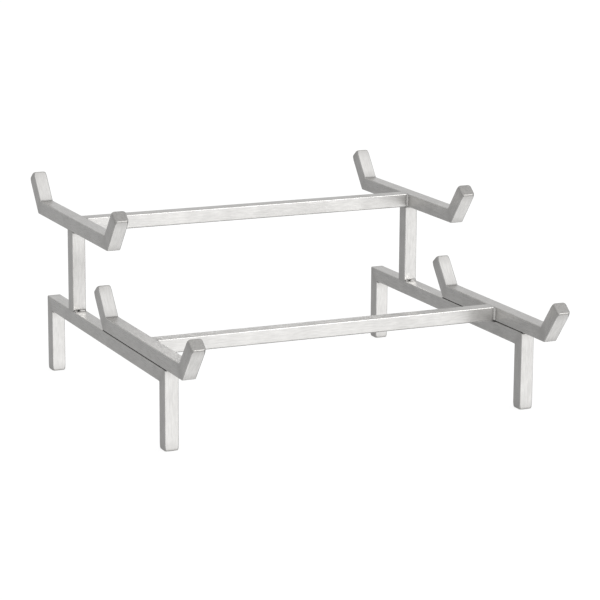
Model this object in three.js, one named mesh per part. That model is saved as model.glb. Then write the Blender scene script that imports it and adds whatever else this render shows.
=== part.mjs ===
// Two-tier bread rack, welded from one size of square stainless-steel tube.
// Millimetres, +Z up, front towards -Y, +X to the viewer's right.
// The origin is on the floor, midway between the side frames and midway between the two tiers.
import * as THREE from "three";

// Driving dimensions: the tube
const tubeWidth = 20;
const tubeWall = 1.2;
const tubeCorner = 1;

// Driving dimensions: the side frames
const frameWidth = 546;
const beamTop = 110;
const postRise = 115;

// Driving dimensions: the cradle arms, measured along their outer faces
const seatLength = 296;
const hornLength = 59;
const hornAngle = THREE.MathUtils.degToRad(52);

// Driving dimensions: the spacing of the tiers, how far each arm's bend passes the leg below it, and how far
// the post stands behind the middle of the upper arm
const tierPitch = 276;
const frontOverhang = 60;
const rearOverhang = 36;
const postSetback = 6.5;

// Driving dimensions: caps, welds and the clearance between pieces
const capThickness = 2.5;
const capEdge = 1.4;
const crossbarWeldLeg = 2.6;
const seamWeldLeg = 1.6;
const weldHollow = 0.35;
const clearance = 0.3;

// The least radius of a rounded corner, and the steps that round shapes are drawn with
const leastRadius = 0.3;
const arcSteps = 2;
const rimSteps = 2;
const weldSteps = 2;

// Places that follow from the driving dimensions
const halfTube = tubeWidth / 2;
const flatWidth = tubeWidth - 2 * tubeCorner;
const sideX = frameWidth / 2 - halfTube;
const seatInnerX = frameWidth / 2 - tubeWidth;
const lowerY = -tierPitch / 2;
const upperY = tierPitch / 2;
const postY = upperY + postSetback;
const lowerSeatUnder = beamTop + clearance;
const upperSeatUnder = beamTop + postRise;
const frontLegFace = lowerY - seatLength / 2 + frontOverhang;
const rearLegFace = upperY + seatLength / 2 - rearOverhang;
const beamAxisZ = beamTop - halfTube;
const quarterTurn = Math.PI / 2;

const right = new THREE.Vector3(1, 0, 0);
const left = new THREE.Vector3(-1, 0, 0);
const back = new THREE.Vector3(0, 1, 0);
const front = new THREE.Vector3(0, -1, 0);
const up = new THREE.Vector3(0, 0, 1);
const down = new THREE.Vector3(0, 0, -1);

// Materials
function brushedSteel() {
  return new THREE.MeshStandardMaterial({ color: 0xc6c5c2, roughness: 0.32, metalness: 1 });
}

function groundSteel() {
  return new THREE.MeshStandardMaterial({ color: 0xb4b3b0, roughness: 0.4, metalness: 1 });
}

function weldSteel() {
  return new THREE.MeshStandardMaterial({ color: 0xa9a8a5, roughness: 0.45, metalness: 1 });
}

// A square with rounded corners, centred on the origin.
function roundedSquare(width, radius, Kind = THREE.Shape) {
  const outline = new Kind();
  const reach = width / 2 - radius;
  outline.absarc(reach, reach, radius, 0, quarterTurn);
  outline.absarc(-reach, reach, radius, quarterTurn, 2 * quarterTurn);
  outline.absarc(-reach, -reach, radius, 2 * quarterTurn, 3 * quarterTurn);
  outline.absarc(reach, -reach, radius, 3 * quarterTurn, 4 * quarterTurn);
  outline.closePath();
  return outline;
}

// The hollow section of the tube.
function tubeSection() {
  const section = roundedSquare(tubeWidth, tubeCorner);
  const boreCorner = Math.max(tubeCorner - tubeWall, leastRadius);
  section.holes.push(roundedSquare(tubeWidth - 2 * tubeWall, boreCorner, THREE.Path));
  return section;
}

// A tube along local Z. Each end is square (turn 0) or mitred for a bend by that turn, in local YZ.
// A mitred end stops half a clearance short of the mitre plane.
function mitredTube(length, startTurn, endTurn) {
  const geometry = new THREE.ExtrudeGeometry(tubeSection(), {
    depth: length,
    bevelEnabled: false,
    curveSegments: arcSteps,
  });
  const setBack = (turn) => (turn ? clearance / 2 / Math.cos(turn / 2) : 0);
  const places = geometry.attributes.position;
  for (let i = 0; i < places.count; i++) {
    const y = places.getY(i);
    const atEnd = places.getZ(i) > length / 2;
    const startZ = setBack(startTurn) - Math.tan(startTurn / 2) * y;
    const endZ = length - setBack(endTurn) + Math.tan(endTurn / 2) * y;
    places.setZ(i, atEnd ? endZ : startZ);
  }
  return geometry;
}

// A plate that closes a tube end, from local Z 0 upwards. Its corners are ground rounder than the tube's.
// Its outer rim is rounded. Its inner rim, drawn round too, is flattened to a square edge.
function capGeometry() {
  const edge = Math.min(capEdge, capThickness - leastRadius);
  const corner = Math.max(tubeCorner, edge + leastRadius);
  const geometry = new THREE.ExtrudeGeometry(roundedSquare(tubeWidth, corner), {
    depth: capThickness - edge,
    bevelThickness: edge,
    bevelSize: edge,
    bevelOffset: -edge,
    bevelSegments: rimSteps,
    curveSegments: arcSteps,
  });
  const places = geometry.attributes.position;
  for (let i = 0; i < places.count; i++) {
    places.setZ(i, Math.max(places.getZ(i), 0));
  }
  return geometry;
}

// A hollow fillet in the corner between two flat faces that open by an angle, as long as a tube's flat.
// The corner line is local Z, local X lies along one face, and the fillet keeps a clearance to both.
function beadGeometry(leg, angle) {
  const corner = new THREE.Vector2(clearance / Math.tan(angle / 2), clearance);
  const near = new THREE.Vector2(leg, 0).add(corner);
  const far = new THREE.Vector2(Math.cos(angle), Math.sin(angle)).multiplyScalar(leg).add(corner);
  const middle = near.clone().lerp(far, 1 / 2);
  const pull = corner.clone().lerp(middle, weldHollow);
  const section = new THREE.Shape();
  section.moveTo(corner.x, corner.y);
  section.lineTo(near.x, near.y);
  section.quadraticCurveTo(pull.x, pull.y, far.x, far.y);
  section.closePath();
  const geometry = new THREE.ExtrudeGeometry(section, {
    depth: flatWidth,
    bevelEnabled: false,
    curveSegments: weldSteps,
  });
  return geometry.translate(0, 0, -flatWidth / 2);
}

// Placing
function mesh(name, geometry, material) {
  const made = new THREE.Mesh(geometry, material);
  made.name = name;
  return made;
}

// Turns an object so that its local X and Y point along two given directions, and moves it.
function place(object, alongX, alongY, at) {
  const alongZ = alongX.clone().cross(alongY);
  object.quaternion.setFromRotationMatrix(new THREE.Matrix4().makeBasis(alongX, alongY, alongZ));
  object.position.copy(at);
  return object;
}

// A weld bead with its corner line through a point, lying along one face and up another.
function weldBead(name, leg, angle, alongFace, upFace, at) {
  return place(mesh(name, beadGeometry(leg, angle), weldSteel()), alongFace, upFace, at);
}

// A tube whose centre line runs from one point to another in the plane of a side frame, given as (y, z).
// Going along it, a turn to the left is positive.
function sideTube(name, from, to, startTurn, endTurn) {
  const run = to.clone().sub(from);
  const tube = mesh(name, mitredTube(run.length(), startTurn, endTurn), brushedSteel());
  tube.rotation.x = run.angle() - quarterTurn;
  tube.position.set(0, from.x, from.y);
  return tube;
}

// The point on a centre line where a tube stops to leave room for its cap and the clearance.
function beforeCap(bend, tip) {
  const run = tip.clone().sub(bend);
  return bend.clone().add(run.setLength(run.length() - capThickness - clearance));
}

// A cap on the end of a tube that runs from a bend to a tip: its outer face is at the tip.
function sideCap(name, bend, tip) {
  const run = tip.clone().sub(bend);
  const seat = tip.clone().sub(run.clone().setLength(capThickness));
  const cap = mesh(name, capGeometry(), groundSteel());
  cap.rotation.x = run.angle() - quarterTurn;
  cap.position.set(0, seat.x, seat.y);
  return cap;
}

// The inverted U of two legs and a beam, with the foot caps.
function baseFrame(side) {
  const frontFoot = new THREE.Vector2(frontLegFace + halfTube, 0);
  const frontTop = new THREE.Vector2(frontLegFace + halfTube, beamAxisZ);
  const rearTop = new THREE.Vector2(rearLegFace - halfTube, beamAxisZ);
  const rearFoot = new THREE.Vector2(rearLegFace - halfTube, 0);
  const frame = new THREE.Group();
  frame.add(
    sideTube(`${side}_front_leg`, beforeCap(frontTop, frontFoot), frontTop, 0, -quarterTurn),
    sideTube(`${side}_base_beam`, frontTop, rearTop, -quarterTurn, -quarterTurn),
    sideTube(`${side}_rear_leg`, rearTop, beforeCap(rearTop, rearFoot), -quarterTurn, 0),
    sideCap(`${side}_front_foot_cap`, frontTop, frontFoot),
    sideCap(`${side}_rear_foot_cap`, rearTop, rearFoot),
  );
  return frame;
}

// A cradle arm: a seat with a horn at each end, its underside at Z 0 and its middle at Y 0.
function cradleArm(name) {
  const bendOffset = halfTube * Math.tan(hornAngle / 2);
  const bendReach = seatLength / 2 - bendOffset;
  const hornReach = hornLength - bendOffset;
  const tipY = bendReach + hornReach * Math.cos(hornAngle);
  const tipZ = halfTube + hornReach * Math.sin(hornAngle);
  const frontTip = new THREE.Vector2(-tipY, tipZ);
  const frontBend = new THREE.Vector2(-bendReach, halfTube);
  const rearBend = new THREE.Vector2(bendReach, halfTube);
  const rearTip = new THREE.Vector2(tipY, tipZ);
  const arm = new THREE.Group();
  arm.add(
    sideTube(`${name}_front_horn`, beforeCap(frontBend, frontTip), frontBend, 0, hornAngle),
    sideTube(`${name}_seat`, frontBend, rearBend, hornAngle, hornAngle),
    sideTube(`${name}_rear_horn`, rearBend, beforeCap(rearBend, rearTip), hornAngle, 0),
    sideCap(`${name}_front_tip_cap`, frontBend, frontTip),
    sideCap(`${name}_rear_tip_cap`, rearBend, rearTip),
  );
  return arm;
}

// The post that carries the upper arm, with a bead before and behind it at the foot and the head.
function post(side) {
  const foot = new THREE.Vector2(postY, beamTop + clearance);
  const head = new THREE.Vector2(postY, upperSeatUnder - clearance);
  const group = new THREE.Group();
  group.add(sideTube(`${side}_post`, foot, head, 0, 0));
  for (const [end, away] of [["front", front], ["rear", back]]) {
    const name = `${side}_post`;
    const atFoot = new THREE.Vector3(0, postY + away.y * halfTube, beamTop);
    const atHead = new THREE.Vector3(0, postY + away.y * halfTube, upperSeatUnder);
    group.add(
      weldBead(`${name}_foot_${end}_weld`, seamWeldLeg, quarterTurn, away, up, atFoot),
      weldBead(`${name}_head_${end}_weld`, seamWeldLeg, quarterTurn, away, down, atHead),
    );
  }
  return group;
}

// The beads that hold the lower seat: in front of the front leg, and on the beam under the rear horn's bend.
function lowerSeatWelds(side) {
  const name = `${side}_lower_seat`;
  const bendY = lowerY + seatLength / 2 - clearance / Math.tan(hornAngle);
  const atLeg = new THREE.Vector3(0, frontLegFace, lowerSeatUnder);
  const atBend = new THREE.Vector3(0, bendY, beamTop);
  const group = new THREE.Group();
  group.add(
    weldBead(`${name}_front_weld`, seamWeldLeg, quarterTurn, front, down, atLeg),
    weldBead(`${name}_rear_weld`, seamWeldLeg, hornAngle, back, up, atBend),
  );
  return group;
}

function sideFrame(side) {
  const lowerArm = cradleArm(`${side}_lower`);
  lowerArm.position.set(0, lowerY, lowerSeatUnder);
  const upperArm = cradleArm(`${side}_upper`);
  upperArm.position.set(0, upperY, upperSeatUnder);
  const frame = new THREE.Group();
  frame.add(baseFrame(side), post(side), lowerArm, upperArm, lowerSeatWelds(side));
  return frame;
}

// A crossbar between a tier's two seats, level with them, with an upright bead before and behind each end.
function crossbar(tier, y, seatUnder) {
  const reach = seatInnerX - clearance;
  const bar = mesh(`${tier}_crossbar`, mitredTube(2 * reach, 0, 0), brushedSteel());
  const group = new THREE.Group();
  group.add(place(bar, back, up, left.clone().multiplyScalar(reach)));
  for (const [side, inward] of [["left", right], ["right", left]]) {
    for (const [end, away] of [["front", front], ["rear", back]]) {
      const name = `${side}_${tier}_crossbar_${end}_weld`;
      const at = new THREE.Vector3(-inward.x * seatInnerX, away.y * halfTube, 0);
      group.add(weldBead(name, crossbarWeldLeg, quarterTurn, away, inward, at));
    }
  }
  group.position.set(0, y, seatUnder + halfTube);
  return group;
}

const rack = new THREE.Group();
for (const [side, outward] of [["left", left], ["right", right]]) {
  const frame = sideFrame(side);
  frame.position.x = outward.x * sideX;
  rack.add(frame);
}
rack.add(crossbar("lower", lowerY, lowerSeatUnder), crossbar("upper", upperY, upperSeatUnder));

export default rack;
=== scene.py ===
# Looks of a two-tier bread rack: brushed square tube, ground end plates and weld beads, on a white floor.
# Metres, +Z up, front towards -Y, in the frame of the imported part.
import math

import bpy
from mathutils import Matrix, Vector


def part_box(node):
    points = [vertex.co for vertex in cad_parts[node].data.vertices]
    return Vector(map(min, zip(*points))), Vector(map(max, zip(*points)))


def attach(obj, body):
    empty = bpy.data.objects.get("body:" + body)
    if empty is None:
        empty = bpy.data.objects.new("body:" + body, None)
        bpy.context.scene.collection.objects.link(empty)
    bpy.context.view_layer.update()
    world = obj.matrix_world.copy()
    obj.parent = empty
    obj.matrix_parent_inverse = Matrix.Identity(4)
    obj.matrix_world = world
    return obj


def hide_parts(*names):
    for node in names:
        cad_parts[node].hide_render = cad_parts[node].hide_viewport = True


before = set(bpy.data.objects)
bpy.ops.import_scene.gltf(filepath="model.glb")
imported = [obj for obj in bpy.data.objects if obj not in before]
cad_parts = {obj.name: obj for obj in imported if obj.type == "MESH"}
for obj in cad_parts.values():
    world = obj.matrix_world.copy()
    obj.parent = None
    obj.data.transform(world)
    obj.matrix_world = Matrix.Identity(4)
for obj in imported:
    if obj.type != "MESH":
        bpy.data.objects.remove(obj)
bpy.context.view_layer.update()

# The camera, at the photograph's viewing angle
VIEW_AZIMUTH = math.radians(-24.274)
VIEW_ELEVATION = math.radians(12.819)
VIEW_ROLL = math.radians(0.351)
VIEW_DISTANCE = 3.286
VIEW_TARGET = Vector((-0.03904, -0.1310, 0.16211))
FOCAL_PIXELS = 2420.4
IMAGE_PIXELS = 600
SENSOR_WIDTH = 36.0

# Directions and names
FRONT = Vector((0, -1, 0))
BACK = Vector((0, 1, 0))
UP = Vector((0, 0, 1))
RIGHT = Vector((1, 0, 0))
QUARTER_TURN = math.pi / 2
SIDES = ("left", "right")
TIERS = ("lower", "upper")

# Sizes and places read from the frame
POST_LOW, POST_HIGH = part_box("left_post")
PLATE_LOW, PLATE_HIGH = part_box("left_front_foot_cap")
TUBE = POST_HIGH.x - POST_LOW.x
HALF_TUBE = TUBE / 2
PLATE = PLATE_HIGH.z - PLATE_LOW.z
BEAM_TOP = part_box("left_base_beam")[1].z
SEAT_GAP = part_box("left_lower_seat")[0].z - BEAM_TOP

# Tubes and end plates
HORN_TILT = math.radians(52)
TUBE_CORNER = 0.0016
TUBE_WALL = 0.0012
BEND_ROUNDING = 0.0020
GROUND_REACH = 0.013
PLATED_CORNER = 0.0030
PLATED_REACH = 0.005
PLATE_EDGE = 0.0017
PLATE_CORNER = 0.0040

# Weld beads: sizes, then shares of a bead's size, and the place and width of a pit as shares of its length
SEAM_BEAD = 0.0016
SEAM_LENGTH = TUBE - 2 * TUBE_CORNER
SEAM_RIPPLES = 5
CROSSBAR_BEAD = 0.0024
CROSSBAR_BEAD_LENGTH = TUBE - TUBE_CORNER
CROSSBAR_RIPPLES = 6
BEAD_SINK = 0.0003
BEAD_BULGE = 0.45
BEAD_END_SIZE = 0.55
BEAD_END_GROWTH = 6
RIPPLE_SIZE = 0.07
SHAKE_SIZE = 0.05
SHAKE_RATE = 7.3
PIT_DEPTH = 0.3
POST_FOOT_PIT = (0.62, 0.16)
BEAD_SHARP_ANGLE = math.radians(40)

# Steps that round shapes are drawn with
CORNER_STEPS = 6
BEND_STEPS = 4
PLATE_STEPS = 5
BEAD_ROUND_STEPS = 6
BEAD_LENGTH_STEPS = 48

# Colours of the metal, from its dull to its bright marks, and the near-black painted shade for weld pits,
# gaps and corners
TUBE_DULL = (0.50, 0.493, 0.482, 1)
TUBE_BRIGHT = (1.0, 0.988, 0.968, 1)
TUBE_GROUND = (0.62, 0.61, 0.595, 1)
PLATE_DULL = (0.42, 0.412, 0.398, 1)
PLATE_BRIGHT = (0.82, 0.806, 0.784, 1)
BEAD_DULL = (0.72, 0.70, 0.67, 1)
BEAD_BRIGHT = (0.93, 0.92, 0.905, 1)
PIT_SHADE = (0.015, 0.014, 0.013, 1)
PAINTED_SHADE = (0.012, 0.011, 0.010, 1)

# Marks in the metal: grains per metre, and the shares that draw some of them out along local X, Y or Z
FINE_GRAIN = 2600.0
FINE_STRETCH = (1, 1, 0.02)
STREAK_GRAIN = 560.0
STREAK_STRETCH = (1, 1, 0.12)
CLOUD_GRAIN = 34.0
CLOUD_SHARE = 0.35
STREAK_SHARE = 0.35
MOTTLE_GRAIN = 420.0
PLATE_MOTTLE_GRAIN = 380.0
SCRATCH_GRAIN = 1500.0
SCRATCH_STRETCH = (1, 0.08, 1)
SCRATCH_SHARE = 0.5
BEAD_MOTTLE_GRAIN = 600.0

# Gloss and relief
TUBE_ROUGHNESS = (0.22, 0.38)
GROUND_ROUGHNESS = 0.38
POLISHED_ROUGHNESS = 0.16
EDGE_POLISH = 0.6
PLATE_ROUGHNESS = (0.26, 0.44)
BEAD_ROUGHNESS = (0.18, 0.36)
BRUSHED_ANISOTROPY = 0.25
BUMP_HEIGHT = 0.0002
TUBE_BUMP = 0.3
PLATE_BUMP = 0.15
BEAD_BUMP = 0.2

# Painted shade in crevices: how far a point looks around, and the openness at which it is fully shaded and
# at which it has no painted shade
CREVICE_REACH = 0.004
CREVICE_SAMPLES = 8
FULL_SHADE_OPENNESS = 0.68
NO_SHADE_OPENNESS = 0.95

# Floor, even light and softbox
WHITE = (1, 1, 1, 1)
FLOOR_DROP = 0.0003
FLOOR_REACH = 60.0
FLOOR_GLOW = 0.84
FLOOR_COLOUR = (0.25, 0.25, 0.25, 1)
EVEN_LEVEL = 0.8
SOFTBOX_PLACE = Vector((1.3, -2.6, 1.35))
SOFTBOX_TARGET = Vector((0, 0, 0.12))
SOFTBOX_WIDTH = 1.1
SOFTBOX_HEIGHT = 0.9
SOFTBOX_POWER = 10.0

# What metal shows of the room besides its grey: soft white cards and black ones, each with its direction,
# the half-angles where it is full and where it has faded out, and the light that it adds or takes away
ROOM_LEVEL = 0.45
CARDS = {
    "front": (Vector((0.26, -0.95, -0.19)), 20, 40, 0.71),
    "behind": (Vector((0.45, 0.86, 0.24)), 8, 34, 0.17),
    "above_front": (Vector((0.41, -0.53, 0.74)), 10, 38, 0.62),
    "below": (Vector((0.41, -0.02, -0.91)), 8, 21, 0.68),
    "right": (Vector((0.98, -0.12, -0.15)), 10, 28, 0.25),
    "left": (Vector((-0.85, -0.45, -0.20)), 15, 45, 0.05),
    "front_left": (Vector((-0.36, -0.91, -0.21)), 10, 28, 0.14),
    "above_behind": (Vector((-0.25, 0.60, 0.76)), 14, 36, 0.22),
    "behind_right": (Vector((0.66, 0.71, -0.26)), 8, 25, 0.42),
    "black_below_behind": (Vector((0.41, 0.52, -0.75)), 16, 34, -0.42),
    "black_below_front": (Vector((0.41, -0.58, -0.70)), 14, 23, -0.45),
    "black_behind_left": (Vector((-0.66, 0.72, -0.22)), 8, 24, -0.12),
}


def middle(node):
    low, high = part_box(node)
    return (low + high) / 2


# Meshes
def rounded_square(half, corner):
    """Points of a square with rounded corners, anticlockwise.

    A point is its place, its outward direction and its nearness to an edge."""
    points = []
    reach = half - corner
    for quarter in range(4):
        diagonal = (quarter + 0.5) * QUARTER_TURN
        centre_x = math.copysign(reach, math.cos(diagonal))
        centre_y = math.copysign(reach, math.sin(diagonal))
        for step in range(CORNER_STEPS + 1):
            angle = (quarter + step / CORNER_STEPS) * QUARTER_TURN
            away = Vector((math.cos(angle), math.sin(angle)))
            edge = math.sin(math.pi * step / CORNER_STEPS)
            points.append((Vector((centre_x, centre_y)) + corner * away, away, edge))
    return points


def mesh_of(name, places, faces, corner_normals, edges, grounds):
    """A mesh with its own corner normals and two point values that the materials read."""
    mesh = bpy.data.meshes.new(name)
    mesh.from_pydata(places, [], faces)
    mesh.polygons.foreach_set("use_smooth", [True] * len(faces))
    for label, values in (("edge", edges), ("ground", grounds)):
        mesh.attributes.new(label, "FLOAT", "POINT").data.foreach_set("value", values)
    if corner_normals:
        mesh.normals_split_custom_set(corner_normals)
    mesh.validate()
    return mesh


def flat_normal(places, face):
    first, second, third = (places[i] for i in face[:3])
    return (second - first).cross(third - second).normalized()


def band_face(ring, next_ring, i, count):
    """The face between two rings of points, at point i and the one after it."""
    j = (i + 1) % count
    return ring * count + i, ring * count + j, next_ring * count + j, next_ring * count + i


def end_faces(count, total):
    """The faces that close the first and the last of a row of rings."""
    return tuple(reversed(range(count))), tuple(range(total - count, total))


def ring_mesh(name, rings, smooth_bands, joined):
    """A closed mesh from rings of points. Joined rings close on themselves, others get flat ends.

    A point is its place, its normal, its nearness to an edge and its share of grinding marks."""
    count = len(rings[0])
    points = [point for ring in rings for point in ring]
    places = [point[0] for point in points]
    faces = []
    normals = []
    bands = len(rings) if joined else len(rings) - 1
    for band in range(bands):
        for i in range(count):
            face = band_face(band, (band + 1) % len(rings), i, count)
            faces.append(face)
            flat = None if band < smooth_bands else flat_normal(places, face)
            normals += [flat or points[corner][1] for corner in face]
    if not joined:
        for face in end_faces(count, len(points)):
            faces.append(face)
            normals += [flat_normal(places, face)] * count
    edges = [point[2] for point in points]
    grounds = [point[3] for point in points]
    return mesh_of(name, places, faces, normals, edges, grounds)


def tube_ring(section, end_z, slope, back, ground):
    """One ring of a tube, set back from its end plane, which slopes across the tube."""
    ring = []
    for place, away, edge in section:
        z = end_z + slope * place.y - back
        ring.append((Vector((place.x, place.y, z)), Vector((away.x, away.y, 0)), edge, ground))
    return ring


def bend_ring(section, end_z, turn, pointing, angle):
    """One ring of the rounding at a mitred end. It turns by an angle, up to half the bend."""
    half_turn = abs(turn) / 2
    sign = math.copysign(1, turn)
    slope = pointing * math.tan(turn / 2)
    sag = BEND_ROUNDING * (1 - math.cos(angle))
    back = BEND_ROUNDING * (math.tan(half_turn) * math.cos(angle) - math.sin(angle))
    ring = []
    for place, away, edge in section:
        y = place.y - sign * sag * abs(away.y)
        z = end_z + slope * y - pointing * back
        normal = Vector((away.x, away.y * math.cos(angle), pointing * sign * away.y * math.sin(angle)))
        ring.append((Vector((place.x, y, z)), normal, edge, 1.0))
    return ring


def end_rings(end_z, turn, pointing, square_corner):
    """The rings of one end of a tube, from its ground stretch to the end itself."""
    section = rounded_square(HALF_TUBE, TUBE_CORNER)
    slope = pointing * math.tan(turn / 2)
    rings = [tube_ring(section, end_z, slope, pointing * GROUND_REACH, 0.0)]
    if not turn:
        end_section = rounded_square(HALF_TUBE, square_corner)
        ground = 1 - PLATED_REACH / GROUND_REACH
        rings.append(tube_ring(section, end_z, 0, pointing * PLATED_REACH, ground))
        rings.append(tube_ring(end_section, end_z, 0, 0, 1.0))
        return rings
    for step in range(BEND_STEPS + 1):
        rings.append(bend_ring(section, end_z, turn, pointing, abs(turn) / 2 * step / BEND_STEPS))
    return rings


def tube_mesh(name, length, start_turn, end_turn):
    """A hollow tube along local Z. An end is mitred for a bend in local YZ and ground round, or square.

    The square end of a bent tube carries a plate, and its corners are ground rounder."""
    square_corner = PLATED_CORNER if start_turn or end_turn else TUBE_CORNER
    bore = rounded_square(HALF_TUBE - TUBE_WALL, TUBE_CORNER / 2)
    start = end_rings(0, start_turn, -1, square_corner)
    outside = start[::-1] + end_rings(length, end_turn, 1, square_corner)
    inside = [
        tube_ring(bore, length, math.tan(end_turn / 2), 0, 0.0),
        tube_ring(bore, 0, -math.tan(start_turn / 2), 0, 0.0),
    ]
    return ring_mesh(name, outside + inside, len(outside) - 1, True)


def plate_ring(half, corner, z, lean):
    """One ring of a plate, whose normals lean from its side towards its outer face by an angle."""
    ring = []
    for place, away, edge in rounded_square(half, corner):
        normal = Vector((away.x * math.cos(lean), away.y * math.cos(lean), math.sin(lean)))
        ring.append((Vector((place.x, place.y, z)), normal, max(edge, math.sin(2 * lean)), 1.0))
    return ring


def plate_mesh(name):
    """The plate that closes a tube end, from local Z 0 upwards, with its rim and corners ground round."""
    rim = PLATE - PLATE_EDGE
    rings = [plate_ring(HALF_TUBE, PLATED_CORNER, 0, 0), plate_ring(HALF_TUBE, PLATE_CORNER, rim, 0)]
    for step in range(1, PLATE_STEPS + 1):
        lean = QUARTER_TURN * step / PLATE_STEPS
        inset = PLATE_EDGE * (1 - math.cos(lean))
        z = rim + PLATE_EDGE * math.sin(lean)
        rings.append(plate_ring(HALF_TUBE - inset, PLATE_CORNER - inset / 2, z, lean))
    return ring_mesh(name, rings, len(rings) - 1, False)


def bead_section(leg, angle):
    """The outline of a weld bead, bulging a little, in the corner between two faces at an angle."""
    corner = Vector((-BEAD_SINK, -BEAD_SINK))
    near = Vector((leg, -BEAD_SINK))
    far = leg * Vector((math.cos(angle), math.sin(angle))) + Vector((-BEAD_SINK, 0))
    pull = (near + far) / 2 + BEAD_BULGE * ((near + far) / 2 - corner)
    outline = [corner]
    for step in range(BEAD_ROUND_STEPS + 1):
        t = step / BEAD_ROUND_STEPS
        outline.append((1 - t) ** 2 * near + 2 * t * (1 - t) * pull + t ** 2 * far)
    return outline


def pit_share(t, pit):
    """How deep a bead's pit is at a share t of the bead's length, from 0 to 1."""
    if pit is None:
        return 0.0
    place, width = pit
    return math.exp(-((t - place) / width) ** 2)


def bead_swell(t, ripples, pit):
    """The size of a bead at a share t of its length: rippled, small at both ends, and sunk at its pit."""
    ends = min(1.0, BEAD_END_SIZE + BEAD_END_GROWTH * min(t, 1 - t))
    ripple = RIPPLE_SIZE * math.sin(2 * math.pi * ripples * t)
    shake = SHAKE_SIZE * math.sin(SHAKE_RATE * ripples * t + 1)
    return ends * (1 + ripple + shake) * (1 - PIT_DEPTH * pit_share(t, pit))


def bead_mesh(name, leg, angle, length, ripples, pit):
    """A weld bead whose corner line is local Z, lying along local X and up the other face."""
    places = []
    pits = []
    count = BEAD_ROUND_STEPS + 2
    for step in range(BEAD_LENGTH_STEPS + 1):
        t = step / BEAD_LENGTH_STEPS
        size = leg * bead_swell(t, ripples, pit)
        for point in bead_section(size, angle):
            places.append(Vector((point.x, point.y, length * (t - 0.5))))
            pits.append(pit_share(t, pit))
    faces = list(end_faces(count, len(places)))
    for step in range(BEAD_LENGTH_STEPS):
        faces += [band_face(step, step + 1, i, count) for i in range(count)]
    mesh = mesh_of(name, places, faces, None, pits, [1.0] * len(places))
    mesh.set_sharp_from_angle(angle=BEAD_SHARP_ANGLE)
    return mesh


# Nodes
def empty_tree(owner):
    """The emptied node tree of a material or a world."""
    owner.use_nodes = True
    owner.node_tree.nodes.clear()
    return owner.node_tree


def add_node(tree, kind, inputs=None, **settings):
    """Adds a shader node. An input is a plain value, or another node's output to link from."""
    node = tree.nodes.new("ShaderNode" + kind)
    for setting, value in settings.items():
        setattr(node, setting, value)
    for socket, value in (inputs or {}).items():
        if isinstance(value, bpy.types.NodeSocket):
            tree.links.new(value, node.inputs[socket])
        else:
            node.inputs[socket].default_value = value
    return node


def math_node(tree, operation, first, second):
    return add_node(tree, "Math", {0: first, 1: second}, operation=operation).outputs[0]


def blend_node(tree, share, first, second):
    """A number that goes from first to second as share goes from 0 to 1."""
    return add_node(tree, "Mix", {0: share, 2: first, 3: second}, data_type="FLOAT").outputs[0]


def colour_blend(tree, share, first, second):
    """A colour that goes from first to second as share goes from 0 to 1."""
    return add_node(tree, "Mix", {0: share, 6: first, 7: second}, data_type="RGBA").outputs[2]


def range_node(tree, value, low, high, to_low=0.0, to_high=1.0):
    """A smooth step: to_low below low, to_high above high."""
    inputs = {0: value, 1: low, 2: high, 3: to_low, 4: to_high}
    return add_node(tree, "MapRange", inputs, interpolation_type="SMOOTHSTEP").outputs[0]


def noise_node(tree, places, grain, detail=3.0, roughness=0.6):
    inputs = {"Vector": places, "Scale": grain, "Detail": detail, "Roughness": roughness}
    return add_node(tree, "TexNoise", inputs).outputs[0]


def point_value(tree, label):
    return add_node(tree, "Attribute", attribute_name=label).outputs["Fac"]


def own_places(tree):
    """Places along a piece's own axes, shifted for each piece so that no two share their marks."""
    local = add_node(tree, "TexCoord").outputs["Object"]
    shift = add_node(tree, "ObjectInfo").outputs["Location"]
    return add_node(tree, "VectorMath", {0: local, 1: shift}, operation="ADD").outputs[0]


def stretched(tree, places, shares):
    """Places squeezed along some axes, so that a pattern on them is drawn out that way."""
    return add_node(tree, "VectorMath", {0: places, 1: shares}, operation="MULTIPLY").outputs[0]


# Materials
def new_metal(name):
    """An empty metal: the material, its node tree and its shader node."""
    material = bpy.data.materials.new(name)
    tree = empty_tree(material)
    shader = add_node(tree, "BsdfPrincipled", {"Metallic": 1.0})
    output = add_node(tree, "OutputMaterial")
    tree.links.new(shader.outputs[0], output.inputs["Surface"])
    return material, tree, shader


def add_bump(tree, shader, strength, height):
    """Gives the shader a relief from a height between 0 and 1."""
    bump = add_node(tree, "Bump", {"Strength": strength, "Distance": BUMP_HEIGHT, "Height": height})
    tree.links.new(bump.outputs[0], shader.inputs["Normal"])


def add_painted_shade(tree, shader, steel_colour):
    """Gives the shader its metal colour, and painted shade, black and without any gloss, deep in gaps and
    corners.
    """
    reach = {"Distance": CREVICE_REACH}
    # Painted shade: the less open a point is, the nearer its colour goes to black and the less metal it is
    openness = add_node(tree, "AmbientOcclusion", reach, samples=CREVICE_SAMPLES).outputs["AO"]
    unshaded = range_node(tree, openness, FULL_SHADE_OPENNESS, NO_SHADE_OPENNESS)
    tree.links.new(colour_blend(tree, unshaded, PAINTED_SHADE, steel_colour), shader.inputs["Base Color"])
    tree.links.new(unshaded, shader.inputs["Metallic"])
    shader.inputs["Specular IOR Level"].default_value = 0.0


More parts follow.
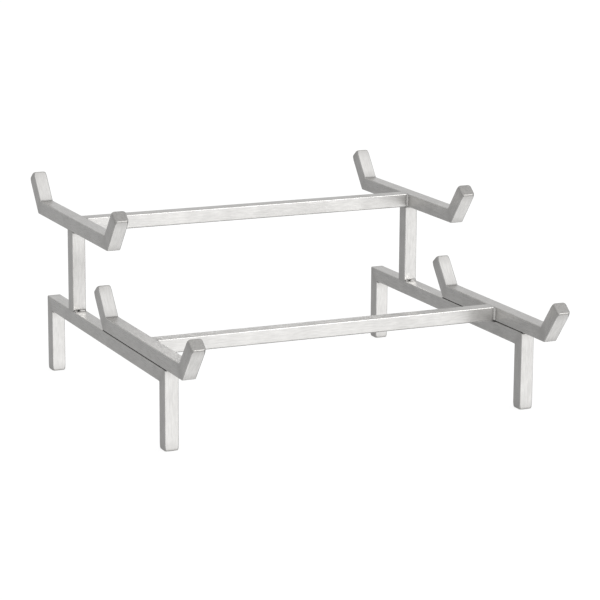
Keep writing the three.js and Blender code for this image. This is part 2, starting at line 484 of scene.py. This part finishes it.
def brushed_steel():
    """Tube brushed along its length, mottled where its ends were ground, with edges polished by handling."""
    material, tree, shader = new_metal("brushed_steel")
    places = own_places(tree)
    fine = noise_node(tree, stretched(tree, places, FINE_STRETCH), FINE_GRAIN)
    streak = noise_node(tree, stretched(tree, places, STREAK_STRETCH), STREAK_GRAIN)
    cloud = noise_node(tree, places, CLOUD_GRAIN, detail=2.0, roughness=0.5)
    mottle = noise_node(tree, places, MOTTLE_GRAIN)
    ground = point_value(tree, "ground")
    ground_marks = math_node(tree, "MULTIPLY", ground, mottle)
    tone = blend_node(tree, CLOUD_SHARE, streak, cloud)
    steel_colour = colour_blend(tree, tone, TUBE_DULL, TUBE_BRIGHT)
    # Painted shade in gaps and corners, over the steel colour with its grinding marks
    add_painted_shade(tree, shader, colour_blend(tree, ground_marks, steel_colour, TUBE_GROUND))
    polish = math_node(tree, "MULTIPLY", point_value(tree, "edge"), EDGE_POLISH)
    brushed = blend_node(tree, fine, *TUBE_ROUGHNESS)
    worn = blend_node(tree, ground_marks, brushed, GROUND_ROUGHNESS)
    tree.links.new(blend_node(tree, polish, worn, POLISHED_ROUGHNESS), shader.inputs["Roughness"])
    grain = blend_node(tree, STREAK_SHARE, fine, streak)
    add_bump(tree, shader, TUBE_BUMP, blend_node(tree, ground, grain, mottle))
    shader.inputs["Anisotropic"].default_value = BRUSHED_ANISOTROPY
    across = add_node(tree, "Tangent", direction_type="RADIAL", axis="Z")
    tree.links.new(across.outputs[0], shader.inputs["Tangent"])
    return material


def ground_steel():
    """End plate, ground by hand: short scratches and mottled patches."""
    material, tree, shader = new_metal("ground_steel")
    places = own_places(tree)
    mottle = noise_node(tree, places, PLATE_MOTTLE_GRAIN, detail=4.0, roughness=0.65)
    scratch = noise_node(tree, stretched(tree, places, SCRATCH_STRETCH), SCRATCH_GRAIN, detail=2.0)
    tree.links.new(colour_blend(tree, mottle, PLATE_DULL, PLATE_BRIGHT), shader.inputs["Base Color"])
    tree.links.new(blend_node(tree, scratch, *PLATE_ROUGHNESS), shader.inputs["Roughness"])
    add_bump(tree, shader, PLATE_BUMP, blend_node(tree, SCRATCH_SHARE, mottle, scratch))
    return material


def weld_steel():
    """Weld metal: bright and smooth, with a faint heat tint and painted shade in its pits."""
    material, tree, shader = new_metal("weld_steel")
    mottle = noise_node(tree, own_places(tree), BEAD_MOTTLE_GRAIN)
    tone = colour_blend(tree, mottle, BEAD_DULL, BEAD_BRIGHT)
    # Painted shade: the bead's pits, carried in its edge value, go near black
    pitted = colour_blend(tree, point_value(tree, "edge"), tone, PIT_SHADE)
    tree.links.new(pitted, shader.inputs["Base Color"])
    tree.links.new(blend_node(tree, mottle, *BEAD_ROUGHNESS), shader.inputs["Roughness"])
    add_bump(tree, shader, BEAD_BUMP, mottle)
    return material


TUBE_STEEL = brushed_steel()
PLATE_STEEL = ground_steel()
BEAD_STEEL = weld_steel()


# Pieces
def add_piece(node, ending, mesh, material, matrix):
    """Puts a mesh in place of a CAD node."""
    mesh.materials.append(material)
    piece = bpy.data.objects.new(node + ending, mesh)
    bpy.context.scene.collection.objects.link(piece)
    piece.matrix_world = matrix
    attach(piece, "root")
    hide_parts(node)


def facing(along_x, along_y, at):
    """The matrix whose local X and Y point along two directions, at a point."""
    turn = Matrix((along_x, along_y, along_x.cross(along_y))).transposed()
    return Matrix.Translation(at) @ turn.to_4x4()


def add_tube(node, from_point, to_point, start_turn=0.0, end_turn=0.0):
    """A tube between two points in the plane of a side frame. Along it, a turn to the left is positive."""
    run = to_point - from_point
    mesh = tube_mesh(node, run.length, start_turn, end_turn)
    matrix = facing(RIGHT, run.normalized().cross(RIGHT), from_point)
    add_piece(node, "_tube", mesh, TUBE_STEEL, matrix)


def before_plate(bend, tip):
    """The point on a centre line, from a bend to a tip, where a tube stops to leave room for its plate."""
    return tip - PLATE * (tip - bend).normalized()


def add_plate(node, bend, tip):
    """The plate on the end of a tube that runs from a bend to a tip: its outer face is at the tip."""
    along = (tip - bend).normalized()
    matrix = facing(RIGHT, along.cross(RIGHT), before_plate(bend, tip))
    add_piece(node, "_plate", plate_mesh(node), PLATE_STEEL, matrix)


def add_bead(node, mesh, along_face, up_face, at):
    """A weld bead in the corner at a point, with the directions of the two faces that it joins."""
    add_piece(node, "_bead", mesh, BEAD_STEEL, facing(along_face, up_face, at))


def seam_mesh(node, angle=QUARTER_TURN, pit=None):
    return bead_mesh(node, SEAM_BEAD, angle, SEAM_LENGTH, SEAM_RIPPLES, pit)


def add_base(side):
    """The inverted U of two legs and a beam, with the foot plates."""
    front = middle(f"{side}_front_leg")
    rear = middle(f"{side}_rear_leg")
    axis = BEAM_TOP - HALF_TUBE
    front_foot = Vector((front.x, front.y, 0))
    front_top = Vector((front.x, front.y, axis))
    rear_top = Vector((rear.x, rear.y, axis))
    rear_foot = Vector((rear.x, rear.y, 0))
    add_tube(f"{side}_front_leg", before_plate(front_top, front_foot), front_top, 0, -QUARTER_TURN)
    add_tube(f"{side}_base_beam", front_top, rear_top, -QUARTER_TURN, -QUARTER_TURN)
    add_tube(f"{side}_rear_leg", rear_top, before_plate(rear_top, rear_foot), -QUARTER_TURN, 0)
    add_plate(f"{side}_front_foot_cap", front_top, front_foot)
    add_plate(f"{side}_rear_foot_cap", rear_top, rear_foot)


def add_arm(name):
    """A cradle arm: a seat with a horn at each end, and the tip plates."""
    low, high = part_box(f"{name}_seat")
    horn_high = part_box(f"{name}_front_horn")[1].z
    centre = (low + high) / 2
    outer_reach = (high.y - low.y) / 2 + SEAT_GAP / 2 / math.cos(HORN_TILT / 2)
    bend_reach = outer_reach - HALF_TUBE * math.tan(HORN_TILT / 2)
    tube_rise = horn_high - HALF_TUBE * math.cos(HORN_TILT) - centre.z
    horn_reach = tube_rise / math.sin(HORN_TILT) + PLATE + SEAT_GAP
    tip = horn_reach * Vector((0, math.cos(HORN_TILT), math.sin(HORN_TILT)))
    front_bend = centre - Vector((0, bend_reach, 0))
    rear_bend = centre + Vector((0, bend_reach, 0))
    front_tip = front_bend + Vector((0, -tip.y, tip.z))
    rear_tip = rear_bend + tip
    add_tube(f"{name}_front_horn", before_plate(front_bend, front_tip), front_bend, 0, HORN_TILT)
    add_tube(f"{name}_seat", front_bend, rear_bend, HORN_TILT, HORN_TILT)
    add_tube(f"{name}_rear_horn", rear_bend, before_plate(rear_bend, rear_tip), HORN_TILT, 0)
    add_plate(f"{name}_front_tip_cap", front_bend, front_tip)
    add_plate(f"{name}_rear_tip_cap", rear_bend, rear_tip)


def add_post(side):
    """The post, let into the rounded edges of the beam and the seat, so that its sides run flush."""
    centre = middle(f"{side}_post")
    foot = Vector((centre.x, centre.y, BEAM_TOP))
    head = Vector((centre.x, centre.y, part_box(f"{side}_upper_seat")[0].z))
    add_tube(f"{side}_post", foot - TUBE_CORNER * UP, head + TUBE_CORNER * UP)
    for end, away, pit in (("front", FRONT, POST_FOOT_PIT), ("rear", BACK, None)):
        out = HALF_TUBE * away
        foot_weld = f"{side}_post_foot_{end}_weld"
        head_weld = f"{side}_post_head_{end}_weld"
        add_bead(foot_weld, seam_mesh(foot_weld, pit=pit), away, UP, foot + out)
        add_bead(head_weld, seam_mesh(head_weld), away, -UP, head + out)


def add_lower_seat_beads(side):
    """The beads that hold the lower seat: before the front leg, and on the beam under the rear bend."""
    low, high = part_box(f"{side}_lower_seat")
    x = (low.x + high.x) / 2
    at_leg = Vector((x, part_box(f"{side}_front_leg")[0].y, low.z))
    at_bend = Vector((x, high.y, BEAM_TOP))
    front_weld = f"{side}_lower_seat_front_weld"
    rear_weld = f"{side}_lower_seat_rear_weld"
    add_bead(front_weld, seam_mesh(front_weld), FRONT, -UP, at_leg)
    add_bead(rear_weld, seam_mesh(rear_weld, HORN_TILT), BACK, UP, at_bend)


def add_crossbar(tier):
    """A crossbar, let into the rounded edges of the seats, so that its top runs flush with theirs."""
    node = f"{tier}_crossbar"
    centre = middle(node)
    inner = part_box(f"right_{tier}_seat")[0].x
    reach = inner + TUBE_CORNER
    matrix = facing(BACK, UP, centre - reach * RIGHT)
    add_piece(node, "_tube", tube_mesh(node, 2 * reach, 0, 0), TUBE_STEEL, matrix)
    for side, inward in zip(SIDES, (RIGHT, -RIGHT)):
        for end, away in (("front", FRONT), ("rear", BACK)):
            weld = f"{side}_{node}_{end}_weld"
            length = CROSSBAR_BEAD_LENGTH
            mesh = bead_mesh(weld, CROSSBAR_BEAD, QUARTER_TURN, length, CROSSBAR_RIPPLES, None)
            add_bead(weld, mesh, away, inward, centre - inner * inward + HALF_TUBE * away)


for side in SIDES:
    add_base(side)
    add_post(side)
    add_lower_seat_beads(side)
    for tier in TIERS:
        add_arm(f"{side}_{tier}")
for tier in TIERS:
    add_crossbar(tier)


# Stage
def card_node(tree, direction, towards, full, faded, level):
    """The light of one card: level near its middle, and nothing beyond the angle where it has faded out."""
    inputs = {0: direction, 1: towards.normalized()}
    nearness = add_node(tree, "VectorMath", inputs, operation="DOT_PRODUCT").outputs["Value"]
    faded_nearness = math.cos(math.radians(faded))
    full_nearness = math.cos(math.radians(full))
    return range_node(tree, nearness, faded_nearness, full_nearness, 0.0, level)


def add_world():
    """White for the camera. Metal shows a grey room with its cards, and the floor gets an even light."""
    world = bpy.data.worlds.new("studio")
    bpy.context.scene.world = world
    tree = empty_tree(world)
    path = add_node(tree, "LightPath").outputs
    direction = add_node(tree, "TexCoord").outputs["Generated"]
    room = ROOM_LEVEL
    for towards, full, faded, level in CARDS.values():
        room = math_node(tree, "ADD", room, card_node(tree, direction, towards, full, faded, level))
    shiny = math_node(tree, "MAXIMUM", path["Is Glossy Ray"], path["Is Transmission Ray"])
    unseen = blend_node(tree, shiny, EVEN_LEVEL, room)
    strength = blend_node(tree, path["Is Camera Ray"], unseen, 1.0)
    background = add_node(tree, "Background", {"Color": WHITE, "Strength": strength})
    output = add_node(tree, "OutputWorld")
    tree.links.new(background.outputs[0], output.inputs["Surface"])


def floor_material():
    """White to the camera, apart from the object's shadow."""
    material = bpy.data.materials.new("white_floor")
    tree = empty_tree(material)
    path = add_node(tree, "LightPath").outputs
    seen = math_node(tree, "MULTIPLY", path["Is Camera Ray"], FLOOR_GLOW)
    glow = add_node(tree, "Emission", {"Color": WHITE, "Strength": seen})
    paper = add_node(tree, "BsdfDiffuse", {"Color": FLOOR_COLOUR})
    both = add_node(tree, "AddShader", {0: glow.outputs[0], 1: paper.outputs[0]})
    output = add_node(tree, "OutputMaterial")
    tree.links.new(both.outputs[0], output.inputs["Surface"])
    return material


def add_floor():
    """A wide floor just below the feet, which metal doesn't show."""
    signs = ((-1, -1), (1, -1), (1, 1), (-1, 1))
    corners = [Vector((x * FLOOR_REACH, y * FLOOR_REACH, -FLOOR_DROP)) for x, y in signs]
    mesh = bpy.data.meshes.new("floor")
    mesh.from_pydata(corners, [], [(0, 1, 2, 3)])
    mesh.materials.append(floor_material())
    floor = bpy.data.objects.new("floor", mesh)
    floor.visible_glossy = False
    bpy.context.scene.collection.objects.link(floor)


def add_softbox():
    """The softbox at the front right that gives the object its shadow."""
    light = bpy.data.lights.new("front_softbox", "AREA")
    light.shape = "RECTANGLE"
    light.size = SOFTBOX_WIDTH
    light.size_y = SOFTBOX_HEIGHT
    light.energy = SOFTBOX_POWER
    lamp = bpy.data.objects.new("front_softbox", light)
    lamp.location = SOFTBOX_PLACE
    lamp.rotation_mode = "QUATERNION"
    lamp.rotation_quaternion = (SOFTBOX_TARGET - SOFTBOX_PLACE).to_track_quat("-Z", "Y")
    bpy.context.scene.collection.objects.link(lamp)


def add_camera():
    """The camera, on a line from its target that the viewing angles give, and rolled about that line."""
    back = Vector((
        math.sin(VIEW_AZIMUTH) * math.cos(VIEW_ELEVATION),
        -math.cos(VIEW_AZIMUTH) * math.cos(VIEW_ELEVATION),
        math.sin(VIEW_ELEVATION),
    ))
    level_right = (-back).cross(UP).normalized()
    level_up = level_right.cross(-back)
    right = math.cos(VIEW_ROLL) * level_right + math.sin(VIEW_ROLL) * level_up
    data = bpy.data.cameras.new("camera")
    data.sensor_width = SENSOR_WIDTH
    data.lens = SENSOR_WIDTH * FOCAL_PIXELS / IMAGE_PIXELS
    camera = bpy.data.objects.new("camera", data)
    camera.matrix_world = facing(right, back.cross(right), VIEW_TARGET + VIEW_DISTANCE * back)
    bpy.context.scene.collection.objects.link(camera)
    bpy.context.scene.camera = camera


add_world()
add_floor()
add_softbox()
add_camera()
bpy.context.scene.view_settings.view_transform = "Standard"
